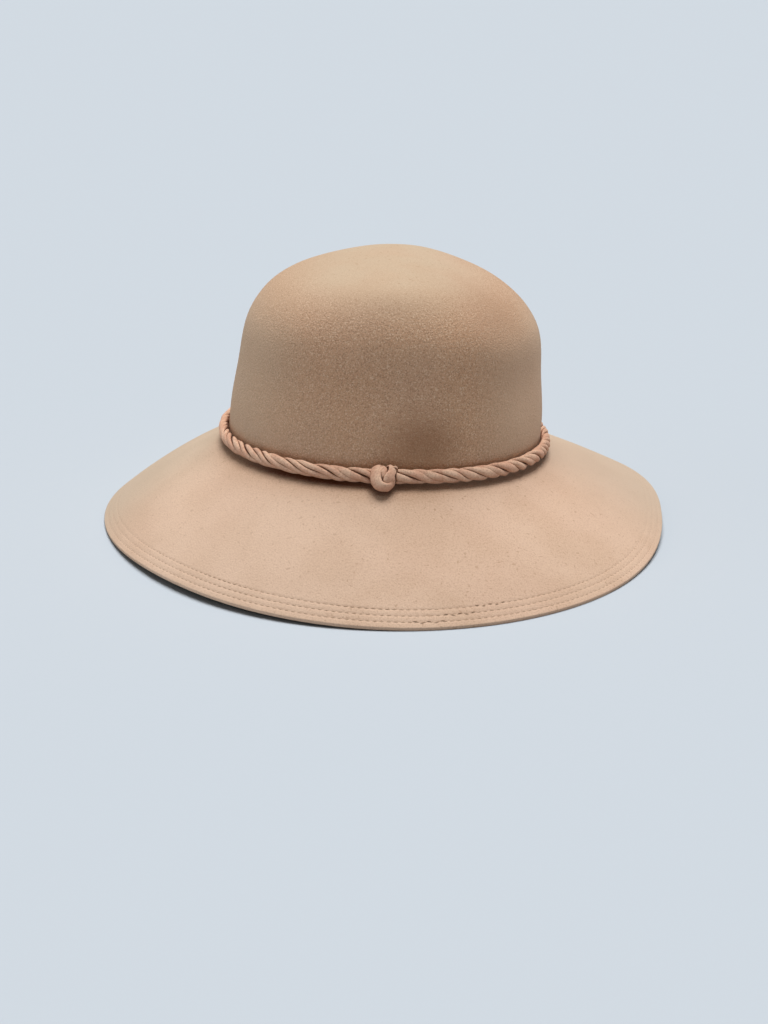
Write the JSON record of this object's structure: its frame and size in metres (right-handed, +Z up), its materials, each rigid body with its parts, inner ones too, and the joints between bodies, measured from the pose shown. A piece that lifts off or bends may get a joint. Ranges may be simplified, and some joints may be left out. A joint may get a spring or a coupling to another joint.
{
  "type": "wide-brim hat",
  "caption": "Round-crown felt hat with a wide sloping brim and a thin twisted band knotted at the front; hollow for a head, rests on its brim edge.",
  "frame": {"origin": "on the surface that the brim's edge rests on, under the middle of the hat's bounding box", "axes": "+Z up through the crown, -Y towards the front of the hat where the knot is, +X towards the wearer's left"},
  "size_m": [0.3104, 0.3435, 0.1531],
  "materials": {
    "body_felt": "matt camel-beige wool felt with a fine short nap",
    "band_felt": "matt pinkish-tan felt strip, softer and smoother than the body"
  },
  "bodies": {
    "root": {"felt_body": "body_felt", "band_ply_1": "band_felt", "band_ply_2": "band_felt", "band_knot": "band_felt"}
  },
  "joints": []
}
